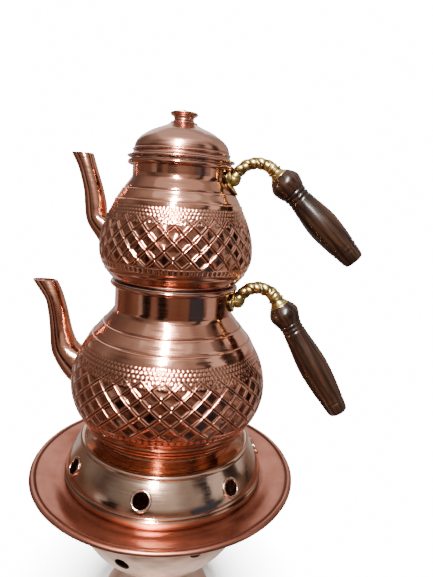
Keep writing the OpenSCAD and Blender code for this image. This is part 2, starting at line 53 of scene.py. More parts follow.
def make_camera():
    """The photo's view: a wide lens close to the set, looking down on it, a little rolled."""
    turn = math.radians(14)          # the handles' plane is turned this far from the picture's
    distance = 0.402
    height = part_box("kettle_body")[0][2] + 0.2172
    yaw, pitch, roll = (math.radians(v) for v in (5.3, -10.8, 4.3))
    data = bpy.data.cameras.new("camera")
    data.sensor_fit = "VERTICAL"
    data.sensor_height = 36
    data.lens = 28.8
    data.clip_start = 0.01
    camera = bpy.data.objects.new("camera", data)
    bpy.context.scene.collection.objects.link(camera)
    forward = Vector((math.sin(yaw) * math.cos(pitch), math.cos(yaw) * math.cos(pitch),
                      math.sin(pitch)))
    right = Vector((math.cos(yaw), -math.sin(yaw), 0))
    up = right.cross(forward)
    rolled_right = math.cos(roll) * right + math.sin(roll) * up
    rolled_up = rolled_right.cross(forward)
    axes = Matrix((rolled_right, rolled_up, -forward)).transposed().to_4x4()
    place = Matrix.Translation((0, -distance, height)) @ axes
    camera.matrix_world = Matrix.Rotation(turn, 4, "Z") @ place
    bpy.context.scene.camera = camera


make_camera()


# ---------------------------------------------------------------- sizes from the frame

def low(node):
    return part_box(node)[0]


def high(node):
    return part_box(node)[1]


WALL = 1.2                       # the sheet's thickness, in mm for outlines drawn in mm
SHEET = WALL * MM
BEAD = 2.2 * MM
PLUG = 9.7 * MM                  # the foot of the teapot that drops into the kettle's mouth
KETTLE_Z = low("kettle_body")[2]
KETTLE_BASE = 61.4 * MM
KETTLE_NECK = 51.2 * MM
KETTLE_BELLY = high("kettle_body")[1]
KETTLE_BELLY_Z = KETTLE_Z + 53.4 * MM
KETTLE_BEAD_Z = high("kettle_body")[2] - BEAD
KETTLE_SLOPE = 56                # how far each grip points down, in degrees
TEAPOT_SLOPE = 43
TEAPOT_Z = low("teapot_body")[2] + PLUG
TEAPOT_NECK = 40.3 * MM
TEAPOT_BELLY = high("teapot_body")[1]
TEAPOT_BELLY_Z = TEAPOT_Z + 25.3 * MM
TEAPOT_BEAD_Z = high("teapot_body")[2] - BEAD
LID_Z = low("lid_shell")[2]
TRAY_R = high("tray")[1]
TRAY_Z = high("tray")[2]
DOME_Z = low("stand_dome")[2]
DOME_R = high("stand_dome")[1]
BOWL_TOP = high("lower_bowl")[2]
BOWL_LOW = low("lower_bowl")[2]
BOWL_R = high("lower_bowl")[1]
FOOT_R = high("foot")[1]
FOOT_TOP = high("foot")[2]
LID_R = high("lid_shell")[0]
LID_TOP = high("lid_shell")[2]
KNOB_R = high("lid_knob")[0]
KNOB_TOP = high("lid_knob")[2]


# ---------------------------------------------------------------- curves

def bezier(a, b, c, d, n=24):
    """Points of a cubic curve, its first point left out."""
    t = np.linspace(0, 1, n + 1)[1:, None]
    a, b, c, d = (np.asarray(v, float) for v in (a, b, c, d))
    s = 1 - t
    return s**3 * a + 3 * s * s * t * b + 3 * s * t * t * c + t**3 * d


def through(points, n=8):
    """A smooth line through points of any dimension, n steps to each."""
    p = np.asarray(points, float)
    out = [p[0]]
    for i in range(len(p) - 1):
        a, b, c, d = p[max(i - 1, 0)], p[i], p[i + 1], p[min(i + 2, len(p) - 1)]
        for k in range(1, n + 1):
            t = k / n
            out.append(0.5 * (2 * b + (c - a) * t + (2 * a - 5 * b + 4 * c - d) * t * t
                              + (3 * b - a - 3 * c + d) * t**3))
    return np.array(out)


def arc(centre, radius, start, end, n=12):
    """Points on an arc in the lathe's plane, angles in degrees."""
    a = np.radians(np.linspace(start, end, n + 1))
    return np.column_stack((centre[0] + radius * np.cos(a), centre[1] + radius * np.sin(a)))


def trace(*parts):
    """One polyline, repeated points dropped, from points, polylines and curves. A curve is
    (handle, handle, end, steps) and starts where the part before it ended."""
    p = np.empty((0, 2))
    for part in parts:
        if isinstance(part, tuple) and len(part) == 4:
            part = bezier(p[-1], *part)
        p = np.vstack((p, part))
    keep = np.r_[True, np.linalg.norm(np.diff(p, axis=0), axis=1) > 1e-7]
    return p[keep]


def normals_of(p):
    """Unit normals to the right of a polyline's direction."""
    d = np.gradient(p, axis=0)
    d /= np.linalg.norm(d, axis=1)[:, None]
    return np.column_stack((d[:, 1], -d[:, 0]))


def bump(x, centre, half):
    """A smooth hump of height 1, zero beyond half."""
    t = np.clip(np.abs(x - centre) / half, 0, 1)
    return (1 - t * t) ** 2


def ease(x, a, b):
    """0 below a, 1 above b, smooth between."""
    t = np.clip((x - a) / (b - a), 0, 1)
    return t * t * (3 - 2 * t)


# ---------------------------------------------------------------- meshes

SHARP = 40                       # edges bent by more degrees than this are shaded sharp


def outward(mesh):
    """Turns every face of a closed mesh outward."""
    work = bmesh.new()
    work.from_mesh(mesh)
    bmesh.ops.recalc_face_normals(work, faces=work.faces)
    work.to_mesh(mesh)
    work.free()


def piece(name, verts, faces, body, stands_for, materials, relief_shade=None, inner=None,
          sharp=SHARP, turn_out=True):
    """A finished object: mesh, shading, materials, and its place in the frame. relief_shade: a
    height for each vertex, that the materials paint as shade (darker where it is low), inner: a
    material's number for each face."""
    mesh = bpy.data.meshes.new(name)
    mesh.from_pydata(np.asarray(verts, float).tolist(), [], faces)
    mesh.update()
    if turn_out:
        outward(mesh)
    for m in materials:
        mesh.materials.append(m)
    mesh.polygons.foreach_set("use_smooth", [True] * len(mesh.polygons))
    mesh.set_sharp_from_angle(angle=math.radians(sharp))
    if relief_shade is not None:
        layer = mesh.attributes.new("relief_shade", "FLOAT", "POINT")
        layer.data.foreach_set("value", np.asarray(relief_shade, np.float32))
    if inner is not None:
        mesh.polygons.foreach_set("material_index", [int(v) for v in inner])
    obj = bpy.data.objects.new(name, mesh)
    bpy.context.scene.collection.objects.link(obj)
    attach(obj, body)
    if stands_for:
        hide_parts(*stands_for)
    return obj


class Shell:
    """Rings of vertices about Z, joined row by row into one closed skin."""

    def __init__(self):
        self.verts = []
        self.relief_shade = []
        self.faces = []
        self.tags = []
        self.count = 0

    def add(self, xyz, relief_shade=0.0):
        n = len(xyz)
        self.verts.append(xyz)
        self.relief_shade.append(np.broadcast_to(relief_shade, (n,)))
        ids = np.arange(self.count, self.count + n)
        self.count += n
        return ids

    def ring(self, r, z, n, turn=0.0, relief_shade=0.0):
        a = turn + TAU * np.arange(n) / n
        r = np.broadcast_to(r, (n,))
        z = np.broadcast_to(z, (n,))
        return self.add(np.column_stack((r * np.cos(a), r * np.sin(a), z)), relief_shade)

    def face(self, *ids, tag=0):
        self.faces.append([int(i) for i in ids])
        self.tags.append(tag)

    def join(self, a, b, tag=0):
        """Walls between two rings. One may have a whole number of times the other's points."""
        if len(a) == 1 or len(b) == 1:
            tip, rim, flip = (a, b, False) if len(a) == 1 else (b, a, True)
            for i in range(len(rim)):
                u, v = rim[i], rim[(i + 1) % len(rim)]
                self.face(*((tip[0], u, v)[::-1] if not flip else (tip[0], u, v)), tag=tag)
            return
        if len(a) == len(b):
            n = len(a)
            for i in range(n):
                k = (i + 1) % n
                self.face(a[i], a[k], b[k], b[i], tag=tag)
            return
        swap = len(a) > len(b)
        few, many = (b, a) if swap else (a, b)
        k = len(many) // len(few)
        half = k // 2
        for i in range(len(few)):
            here, there = few[i], few[(i + 1) % len(few)]
            row = [many[(i * k + j) % len(many)] for j in range(k + 1)]
            tris = [(here, row[j + 1], row[j]) for j in range(half)]
            tris.append((here, there, row[half]))
            tris += [(there, row[j + 1], row[j]) for j in range(half, k)]
            for t in tris:
                self.face(*(t[::-1] if swap else t), tag=tag)

    def skin(self, rows, closed=False, tag=0):
        """Joins each row to the next, and the last to the first where closed."""
        for u, v in zip(rows, rows[1:] + (rows[:1] if closed else [])):
            if len(u) > 1 or len(v) > 1:
                self.join(u, v, tag)

    def capped(self, rows):
        """Joins the rows and closes both ends."""
        self.skin(rows)
        self.face(*rows[0][::-1])
        self.face(*rows[-1])

    def point(self, z):
        return self.add(np.array([[0, 0, z]]))

    def arrays(self):
        return np.vstack(self.verts), self.faces, np.concatenate(self.relief_shade), self.tags


def lathe(name, section, body, stands_for, materials, n=240, closed=True, wobble=None,
          shade=None):
    """A turned piece. section walks up the outside and back down the inside."""
    shell = Shell()
    rows = []
    for r, z in section:
        if r < 1e-6:
            rows.append(shell.point(z))
        else:
            rows.append(shell.ring(r, z, n, relief_shade=shade(r, z) if shade else 0.0))
    shell.skin(rows, closed)
    verts, faces, relief_shade, _ = shell.arrays()
    if wobble is not None:
        verts = wobble(verts)
    return piece(name, verts, faces, body, stands_for, materials, relief_shade=relief_shade)


def hoop(shell, centre, spoke, radius, t, relief_shade=0.0):
    """A ring, in mm, round a point of the plane that the handles lie in. spoke: the ring's own
    direction in that plane, t: the angles of its points."""
    reach = radius * np.cos(t)
    xyz = (centre[0] + reach * spoke[0], radius * np.sin(t), centre[1] + reach * spoke[1])
    return shell.add(np.column_stack(xyz) * MM, relief_shade)


# ---------------------------------------------------------------- materials

class Graph:
    """A short way to write a node tree."""

    def __init__(self, owner):
        owner.use_nodes = True
        self.tree = owner.node_tree

    def new(self, kind, inputs=None, **settings):
        node = self.tree.nodes.new(kind)
        for key, value in settings.items():
            setattr(node, key, value)
        for key, value in (inputs or {}).items():
            if isinstance(value, bpy.types.NodeSocket):
                self.tree.links.new(value, node.inputs[key])
            else:
                node.inputs[key].default_value = value
        return node

    def math(self, operation, a, b=0.0, clamp=False):
        node = self.new("ShaderNodeMath", {0: a, 1: b}, operation=operation)
        node.use_clamp = clamp
        return node.outputs[0]

    def mix(self, factor, a, b):
        return self.new("ShaderNodeMix", {0: factor, 6: a, 7: b}, data_type="RGBA").outputs[2]

    def noise(self, vector, scale, detail=4, rough=0.5):
        return self.new("ShaderNodeTexNoise", {"Vector": vector, "Scale": scale,
                                               "Detail": detail, "Roughness": rough}).outputs[0]


class Nodes(Graph):
    """A material's nodes."""

    def __init__(self, name):
        self.material = bpy.data.materials.new(name)
        super().__init__(self.material)
        self.shader = self.tree.nodes["Principled BSDF"]

    def place(self, scale=(1, 1, 1), rotation=(0, 0, 0)):
        coord = self.new("ShaderNodeTexCoord")
        node = self.new("ShaderNodeMapping", {"Vector": coord.outputs["Object"],
                                              "Scale": scale, "Rotation": rotation})
        return node.outputs[0]

    def ramp(self, value, low_at, high_at, low_to=0.0, high_to=1.0):
        node = self.new("ShaderNodeMapRange", {0: value, 1: low_at, 2: high_at, 3: low_to,
                                               4: high_to})
        node.clamp = True
        return node.outputs[0]

    def bump(self, height, strength, distance, normal=None):
        inputs = {"Height": height, "Strength": strength, "Distance": distance}
        if normal is not None:
            inputs["Normal"] = normal
        return self.new("ShaderNodeBump", inputs).outputs[0]

    def set(self, **values):
        for key, value in values.items():
            socket = self.shader.inputs[key.replace("_", " ")]
            if isinstance(value, bpy.types.NodeSocket):
                self.tree.links.new(value, socket)
            else:
                socket.default_value = value
        return self.material


def rgb(r, g, b):
    return (r, g, b, 1.0)


def metal(name, bright, dull, dark, roughness, streak=0.05, blotch=35, groove_shade=0.0,
          scratches=0.15, ripple=0.0):
    """Sheet or cast metal: lathe streaks, cloudy tarnish, painted shade in the recesses (mixed
    toward dark by the relief_shade attribute) and fine scratches.
    """
    n = Nodes(name)
    around = n.place()
    turned = n.place(scale=(1, 1, 40))
    cloud = n.noise(around, blotch, 5, 0.6)
    spun = n.noise(turned, 28, 3, 0.5)
    speck = n.noise(around, 420, 2, 0.5)
    tone = n.mix(n.ramp(cloud, 0.38, 0.68), bright, dull)
    # painted shade: where relief_shade is low, in recesses and shadow lines, the colour is mixed
    # toward dark
    if groove_shade:
        layer = n.new("ShaderNodeAttribute", attribute_name="relief_shade")
        hollow_shade = n.ramp(layer.outputs["Fac"], -0.25, 0.15, groove_shade, 0.0)
        tone = n.mix(hollow_shade, tone, dark)
    worn = n.ramp(cloud, 0.55, 0.75, 0.0, 0.10)
    streaks = n.ramp(spun, 0.35, 0.7, -streak, streak)
    rough = n.math("ADD", n.math("ADD", worn, streaks), roughness, clamp=True)
    scratch = n.new("ShaderNodeTexVoronoi", {"Vector": n.place(scale=(1, 1, 0.06),
                                             rotation=(0.5, 0.9, 0)), "Scale": 260.0},
                    feature="DISTANCE_TO_EDGE").outputs[0]
    fine = n.bump(n.ramp(scratch, 0.0, 0.03), scratches, 0.00003)
    spin = n.bump(spun, 0.10, 0.00012, fine)
    normal = n.bump(speck, 0.05, 0.0001, spin)
    if ripple:
        normal = n.bump(n.noise(around, 55, 2, 0.4), ripple, 0.0012, normal)
    return n.set(Base_Color=tone, Metallic=1.0, Roughness=rough, Normal=normal)


def wood(name, axis):
    """Dark turned wood with long pores, oiled to a gloss. axis is the grip's direction."""
    n = Nodes(name)
    tilt = math.atan2(axis.x, axis.z)
    along = n.new("ShaderNodeTexCoord").outputs["Object"]
    turned = n.new("ShaderNodeVectorRotate", {"Vector": along, "Axis": (0, 1, 0),
                                              "Angle": -tilt}, rotation_type="AXIS_ANGLE")
    stretched = n.new("ShaderNodeMapping", {"Vector": turned.outputs[0],
                                            "Scale": (1, 1, 0.07)}).outputs[0]
    bands = n.noise(stretched, 260, 6, 0.65)
    pores = n.noise(stretched, 900, 3, 0.6)
    waves = n.new("ShaderNodeTexWave", {"Vector": stretched, "Scale": 60.0, "Distortion": 7.0,
                                        "Detail": 3.0, "Detail Scale": 1.5},
                  bands_direction="X").outputs["Fac"]
    base = n.mix(n.ramp(bands, 0.35, 0.7), rgb(0.006, 0.003, 0.002), rgb(0.040, 0.015, 0.007))
    base = n.mix(n.ramp(waves, 0.3, 0.9, 0.0, 0.7), base, rgb(0.006, 0.0025, 0.0015))
    base = n.mix(n.ramp(pores, 0.62, 0.75, 0.0, 0.85), base, rgb(0.008, 0.004, 0.003))
    rough = n.ramp(bands, 0.3, 0.8, 0.22, 0.42)
    normal = n.bump(n.math("ADD", bands, pores), 0.25, 0.0002)
    return n.set(Base_Color=base, Roughness=rough, Normal=normal, Coat_Weight=0.25,
                 Coat_Roughness=0.14, Specular_IOR_Level=0.25)


def cloth_wick(name):
    n = Nodes(name)
    weave = n.new("ShaderNodeTexWave", {"Vector": n.place(), "Scale": 900.0,
                                        "Distortion": 2.0}, bands_direction="DIAGONAL")
    tone = n.mix(weave.outputs["Fac"], rgb(0.62, 0.56, 0.45), rgb(0.86, 0.82, 0.72))
    normal = n.bump(weave.outputs["Fac"], 0.5, 0.0004)
    return n.set(Base_Color=tone, Roughness=0.9, Normal=normal)


COPPER = metal("polished_copper", rgb(0.82, 0.40, 0.27), rgb(0.70, 0.30, 0.195),
               rgb(0.16, 0.04, 0.02), 0.13, groove_shade=0.85, ripple=0.035)
LID_COPPER = metal("lid_copper", rgb(0.80, 0.42, 0.31), rgb(0.70, 0.33, 0.235),
                   rgb(0.16, 0.045, 0.025), 0.22, streak=0.06, groove_shade=0.8, ripple=0.02)
TRAY_COPPER = metal("tray_copper", rgb(0.56, 0.22, 0.15), rgb(0.40, 0.14, 0.09),
                    rgb(0.12, 0.035, 0.02), 0.34, streak=0.05, blotch=28, groove_shade=0.85,
                    scratches=0.35, ripple=0.05)
DOME_COPPER = metal("dome_copper", rgb(0.80, 0.56, 0.42), rgb(0.68, 0.43, 0.30),
                    rgb(0.20, 0.07, 0.04), 0.15, groove_shade=0.85, ripple=0.04)
BOWL_COPPER = metal("bowl_copper", rgb(0.60, 0.39, 0.30), rgb(0.46, 0.28, 0.21),
                    rgb(0.18, 0.08, 0.05), 0.42, streak=0.07, blotch=22, scratches=0.35,
                    ripple=0.05)
TIN = metal("tinned_lining", rgb(0.74, 0.74, 0.72), rgb(0.58, 0.57, 0.55),
            rgb(0.2, 0.2, 0.2), 0.36, scratches=0.3)
CAST_BRASS = metal("cast_brass", rgb(0.62, 0.46, 0.18), rgb(0.42, 0.30, 0.10),
                   rgb(0.10, 0.065, 0.025), 0.30, groove_shade=0.9, blotch=120)
BRASS = metal("plain_brass", rgb(0.85, 0.70, 0.38), rgb(0.72, 0.55, 0.26),
              rgb(0.2, 0.12, 0.05), 0.26, blotch=120)
STEEL = metal("drawn_steel", rgb(0.62, 0.62, 0.62), rgb(0.45, 0.45, 0.45),
              rgb(0.1, 0.1, 0.1), 0.38, blotch=90)
WICK = cloth_wick("cotton_wick")


# ---------------------------------------------------------------- light, world and floor

def make_world():
    """A room for the metal to mirror: brown below, furniture and windows round it, a pale
    ceiling. What the camera itself sees past the floor is white."""
    world = bpy.data.worlds.new("studio")
    bpy.context.scene.world = world
    g = Graph(world)
    direction = g.new("ShaderNodeTexCoord").outputs["Generated"]
    x, y, z = g.new("ShaderNodeSeparateXYZ", {0: direction}).outputs
    bearing = g.math("ARCTAN2", y, x)
    ragged = g.noise(direction, 5.0, 3.0)
    sway = g.math("MULTIPLY", g.math("SUBTRACT", ragged, 0.5), 0.55)
    turned = g.math("ADD", g.math("ADD", bearing, math.radians(76)), sway)
    u = g.math("FRACT", g.math("ADD", g.math("DIVIDE", turned, TAU), 0.5))

    def rounds(*stops):
        """Colours by bearing, in degrees from the camera's side."""
        node = g.new("ShaderNodeValToRGB", {0: u})
        elements = node.color_ramp.elements
        while len(elements) < len(stops):
            elements.new(0.5)
        for e, (deg, colour) in zip(elements, stops):
            e.position = (deg + 180) / 360
            e.color = (*colour, 1)
        return node.outputs[0]

    def share(start, end):
        """0 where the direction's height is below start, 1 above end, smooth between."""
        return g.new("ShaderNodeMapRange", {0: z, 1: start, 2: end},
                     interpolation_type="SMOOTHSTEP").outputs[0]

    tan, dark = (0.30, 0.21, 0.17), (0.015, 0.014, 0.015)
    blue, pale = (0.07, 0.10, 0.15), (0.75, 0.73, 0.72)
    below = rounds(
        (-180, tan), (-140, pale), (-128, tan), (-100, (0.16, 0.10, 0.08)), (-72, tan),
        (-66, pale), (-62, dark), (-46, dark), (-42, tan), (-33, (0.36, 0.26, 0.22)), (-30, dark),
        (-14, dark), (-12, tan), (12, (0.24, 0.15, 0.11)), (30, tan), (33, dark), (38, blue),
        (60, blue), (64, dark), (68, pale), (84, pale), (88, tan), (110, dark), (124, tan),
        (150, pale), (180, tan))
    middle = rounds(
        (-180, (0.34, 0.30, 0.28)), (-130, (0.18, 0.15, 0.14)), (-95, (0.30, 0.27, 0.25)),
        (-70, (0.12, 0.10, 0.09)), (-45, (0.30, 0.28, 0.26)), (-20, (0.42, 0.39, 0.37)),
        (-6, (0.80, 0.78, 0.76)), (10, (0.85, 0.84, 0.82)), (24, (0.42, 0.40, 0.38)),
        (40, (0.50, 0.48, 0.46)), (46, (0.05, 0.045, 0.05)), (57, (0.04, 0.05, 0.07)),
        (60, (0.90, 0.88, 0.86)), (78, (1.0, 0.98, 0.96)), (81, (0.04, 0.03, 0.025)),
        (97, (0.04, 0.035, 0.03)), (100, (0.9, 0.86, 0.83)), (135, (0.6, 0.56, 0.52)),
        (180, (0.34, 0.30, 0.28)))
    lower = g.mix(share(-0.97, -0.75), rgb(0.14, 0.08, 0.055), below)
    walls = g.mix(share(0.0, 0.16), lower, middle)
    room = g.mix(share(0.50, 0.85), walls, rgb(0.52, 0.51, 0.50))
    direct = g.new("ShaderNodeLightPath").outputs["Is Camera Ray"]
    seen = g.mix(direct, room, rgb(16, 16, 16))
    g.tree.links.new(seen, g.tree.nodes["Background"].inputs[0])


def area_light(name, place, aim, size, power, colour=(1, 1, 1), size_y=None):
    data = bpy.data.lights.new(name, "AREA")
    data.shape = "RECTANGLE"
    data.size = size
    data.size_y = size_y or size
    data.energy = power
    data.color = colour
    light = bpy.data.objects.new(name, data)
    bpy.context.scene.collection.objects.link(light)
    light.location = place
    light.rotation_euler = (Vector(aim) - Vector(place)).to_track_quat("-Z", "Y").to_euler()


def make_floor():
    """A plain pale floor that fades into the white round it."""
    radius, sides = 0.26, 96
    angles = [TAU * k / sides for k in range(sides)]
    ring = [(radius * math.cos(t), radius * math.sin(t), 0) for t in angles]
    mesh = bpy.data.meshes.new("floor")
    mesh.from_pydata(ring, [], [list(range(sides))])
    n = Nodes("pale_floor")
    tone = n.mix(n.noise(n.place(), 3.0, 2), rgb(0.70, 0.70, 0.70), rgb(0.76, 0.76, 0.755))
    far = n.new("ShaderNodeVectorMath", {0: n.place()}, operation="LENGTH").outputs["Value"]
    fade = n.ramp(far, 0.06, 0.15, 1.0, 0.0)
    mesh.materials.append(n.set(Base_Color=tone, Roughness=0.7, Alpha=fade))
    floor = bpy.data.objects.new("floor", mesh)
    bpy.context.scene.collection.objects.link(floor)


make_world()
area_light("window", (0.05, -1.1, 1.35), (0, 0, 0.3), 0.10, 110, (1, 0.97, 0.93), 0.9)
area_light("ceiling", (0, 0, 2.2), (0, 0, 0), 2.4, 8)
area_light("back_fill", (-0.6, 1.6, 1.2), (0, 0, 0.25), 1.4, 8)
make_floor()


# ---------------------------------------------------------------- pots

def inner_of(outer, thickness):
    """The inside face of a sheet, walked the same way as its outside."""
    p = outer - normals_of(outer) * thickness
    p[:, 0] = np.clip(p[:, 0], 0, None)
    return p


def pot(name, outline, marks, columns, lattice_rows, dash_count, body, node):
    """An embossed pot.

    outline: outer face from the base's centre to the rim, marks: heights of the step lines, the
    thin rings, the border, the lattice and the dots, columns: diamonds round the pot,
    dash_count: dashes round the border.
    """
    lengths = np.r_[0, np.cumsum(np.linalg.norm(np.diff(outline, axis=0), axis=1))]
    rising = np.argmax(outline[:, 1] > outline[0, 1] + 2 * MM)
    normal = normals_of(outline)

    def at(s):
        """Radius, height and outward normal at a length along the outline."""
        r = np.interp(s, lengths, outline[:, 0])
        z = np.interp(s, lengths, outline[:, 1])
        nr = np.interp(s, lengths, normal[:, 0])
        nz = np.interp(s, lengths, normal[:, 1])
        return r, z, nr, nz

    def length_at(z):
        return float(np.interp(z, outline[rising:, 1], lengths[rising:]))

    lattice_0 = length_at(marks["lattice"][0])
    lattice_1 = length_at(marks["lattice"][1])
    dots_1 = length_at(marks["dots"])
    border_0 = length_at(marks["border"])
    steps = [length_at(z) for z in marks["steps"]]
    beads = [length_at(z) for z in marks["rings"]]
    row_h = (lattice_1 - lattice_0) / lattice_rows
    coarse, dense = columns * 6, columns * 24
    # each vertex's relief_shade is its embossed height in mm, painted as shade by the copper:
    # darker below the step lines and in the lattice and dot recesses
    shell = Shell()

    def smooth_rise(s):
        """Steps and thin rings on the plain parts of the wall."""
        h = np.zeros_like(s)
        for k in steps:
            h += 0.45 * MM * (1 - ease(s, k - 0.5 * MM, k + 0.7 * MM))
            h += 0.14 * MM * bump(s, k - 1.1 * MM, 1.2 * MM)
            h -= 0.32 * MM * bump(s, k + 0.7 * MM, 0.9 * MM)
        h -= 0.45 * MM * len(steps) * ease(-s, -dots_1 - 5 * MM, -dots_1 + 1 * MM)
        for k in beads:
            h += 0.5 * MM * bump(s, k, 1.1 * MM)
        return h

    def place(s, turn, height):
        """Points at a length up the wall and an angle, pushed out by height."""
        r, z, nr, nz = at(s)
        rr = r + nr * height
        return np.column_stack((rr * np.cos(turn), rr * np.sin(turn),
                                np.broadcast_to(z + nz * height, rr.shape)))

    def plain_rows(s_values, n, turn):
        """Rings of the plain wall at these lengths."""
        rows = []
        for s in s_values:
            r, z, nr, nz = at(s)
            h = float(smooth_rise(np.array([s]))[0])
            if r < 1e-6:
                rows.append(shell.point(z))
            else:
                # painted shade: the plain wall's step heights, scaled, darken it under each step
                rows.append(shell.ring(r + nr * h, z + nz * h, n, turn, h / MM * 0.4))
        return rows

    # base, foot and lower belly
    corners = lengths[: rising + 1]
    lower = np.unique(np.r_[corners, np.arange(lengths[rising], border_0, 1.5 * MM),
                            *[np.linspace(k - 1.4 * MM, k + 1.4 * MM, 9) for k in beads]])
    lower = lower[lower < border_0 - 0.3 * MM]
    rows = plain_rows(lower, coarse, 0.0)
    # border of upright dashes between two raised lines
    a = TAU * np.arange(dense) / dense
    for s in np.linspace(border_0, lattice_0 - 0.3 * MM, 13):
        u = (s - border_0) / (lattice_0 - border_0)
        edge = bump(u, 0.10, 0.12) + bump(u, 0.88, 0.12)
        dash = (0.5 - 0.5 * np.cos(a * dash_count)) ** 0.35
        inside = ease(u, 0.12, 0.28) * (1 - ease(u, 0.70, 0.84))
        h = 0.38 * edge + inside * (0.55 * dash - 0.32)
        rows.append(shell.add(place(np.full(dense, s), a, h * MM), h))
    # diamond lattice on a slanted grid, so its lines are clean
    stops = np.array([0, .035, .07, .105, .145, .25, .5, .75, .855, .895, .93, .965])
    m = len(stops)
    total = columns * m
    q_index = np.arange(total)
    width = TAU * at(0.5 * (lattice_0 + lattice_1))[0] / columns
    across = width * row_h / math.hypot(width / 2, row_h) / MM

    def embossed(p, q):
        """Height in mm of the lattice: two thin ridges along each line, and a flat cell."""
        dp = np.abs(p - np.round(p)) * across
        dq = np.abs(q - np.round(q)) * across
        near = np.minimum(dp, dq)
        lines = 0.40 * bump(near, 0.95, 0.75) - 0.42 * bump(near, 0, 0.65)
        dent = 0.10 * np.sin(3.1 * np.round(p) + 5.3 * np.round(q) + p * 4)
        return np.where(near < 1.7, lines - 0.16 * ease(near, 0.9, 1.7), dent - 0.16), near

    grid = []
    closed_rows = lattice_rows - 1
    for d in range(closed_rows * m + 1):
        p_index = q_index + d
        p = p_index // m + stops[p_index % m]
        q = q_index // m + stops[q_index % m]
        s = lattice_0 + (p - q) * row_h
        turn = math.pi * (p + q) / columns
        h = embossed(p, q)[0] * ease(s, lattice_0 - 0.1 * MM, lattice_0 + 1.0 * MM)
        grid.append(shell.add(place(s, turn, h * MM), h))
    shell.join(rows[-1], grid[0])
    last = closed_rows * m
    for d in range(last + 1):
        here = grid[d]
        nxt = np.roll(here, -1)
        up = grid[d + 1] if d < last else None
        down = np.roll(grid[d - 1], -1) if d > 0 else None
        for i in range(total):
            if d == 0:
                shell.face(here[i], nxt[i], up[i])
            elif d == last:
                shell.face(here[i], down[i], nxt[i])
            else:
                shell.face(here[i], down[i], nxt[i], up[i])
    # the lattice's open upper row, then dots that fill it and run on above it
    turn0 = math.pi * closed_rows / columns
    pitch = TAU / (columns * 4)
    dot_h = 0.94 * pitch * at(lattice_1)[0]
    top_0 = lattice_0 + closed_rows * row_h
    tops = []
    for s in np.linspace(top_0 + 0.25 * MM, dots_1, int((dots_1 - top_0) / (0.72 * MM))):
        turn = a + turn0
        up = (s - lattice_0) / row_h
        p, q = 0.5 * (turn * columns / math.pi + up), 0.5 * (turn * columns / math.pi - up)
        lattice, near = embossed(p, q)
        row = math.floor((s - top_0) / dot_h)
        x = (turn / pitch + 0.5 * (row % 2)) % 1.0 - 0.5
        y = (s - top_0) / dot_h - row - 0.5
        dist = np.hypot(x, y * 0.95) / 0.46
        dots = 0.50 * np.clip(1 - dist**2, 0, 1) ** 0.7 - 0.22 * bump(dist, 0, 0.35) - 0.15
        h = np.where((near < 1.9) & (up < lattice_rows), lattice, dots)
        h = h * ease(-s, -dots_1 - 0.05 * MM, -dots_1 + 0.5 * MM)
        tops.append(shell.add(place(np.full(dense, s), turn, h * MM), h))
    shell.join(grid[-1], tops[0])
    shell.skin(tops)
    # shoulder and neck
    neck_top = lengths[-1]
    upper = np.unique(np.r_[np.arange(dots_1 + 1.0 * MM, neck_top, 2.4 * MM), neck_top,
                            *[np.linspace(k - 2.4 * MM, k + 1.8 * MM, 11) for k in steps]])
    upper = upper[upper > dots_1 + 0.6 * MM]
    top_rows = plain_rows(upper, coarse, turn0)
    shell.join(tops[-1], top_rows[0])
    shell.skin(rows)
    shell.skin(top_rows)
    # the rolled bead, from under it round the outside to the inside wall
    rim_r, rim_z = outline[-1]
    bead = arc((rim_r + BEAD - 0.2 * MM, rim_z), BEAD, 215, 505, 18)
    path = [shell.ring(r, z, coarse, turn0) for r, z in bead]
    shell.join(top_rows[-1], path[0])
    shell.skin(path)
    # the inside face, down to its centre
    inside = inner_of(outline, SHEET)
    keep = np.r_[np.arange(0, len(inside) - 1, 4), len(inside) - 2]
    lining = [path[-1]]
    for r, z in inside[keep][::-1]:
        if r < 1 * MM:
            lining.append(shell.point(z))
            break
        lining.append(shell.ring(r, z, coarse, turn0))
    shell.skin(lining, tag=1)
    verts, faces, relief_shade, tags = shell.arrays()
    return piece(name, verts, faces, body, [node], [COPPER, TIN],
                 relief_shade=relief_shade, inner=tags, sharp=55, turn_out=False)


def kettle_outline():
    z, base, neck = KETTLE_Z / MM, KETTLE_BASE / MM, KETTLE_NECK / MM
    belly, belly_z, neck_z = KETTLE_BELLY / MM, KETTLE_BELLY_Z / MM, z + 119
    edge = np.array((base + 3, z + 10.8))
    start = edge + (4.4, 3)
    return trace((0, z), (base - 1, z), arc((base - 1, z + 1), 1, -90, -15, 4),
                 (base + 2.6, z + 10), edge, edge + (1.2, 0.2),
                 (edge + (2.6, 0.7), start - (1.2, 1.4), start, 8),
                 (start + (8.7, 11), (belly, belly_z - 14), (belly, belly_z), 40),
                 ((belly, belly_z + 30), (neck + 14.2, neck_z - 17.7), (neck + 1.2, neck_z), 60),
                 ((neck + 0.5, neck_z + 0.9), (neck, neck_z + 1.4), (neck, neck_z + 2.4), 6),
                 (neck, neck_z + 3), (neck, neck_z + 12), (neck, KETTLE_BEAD_Z / MM - 1.5)) * MM


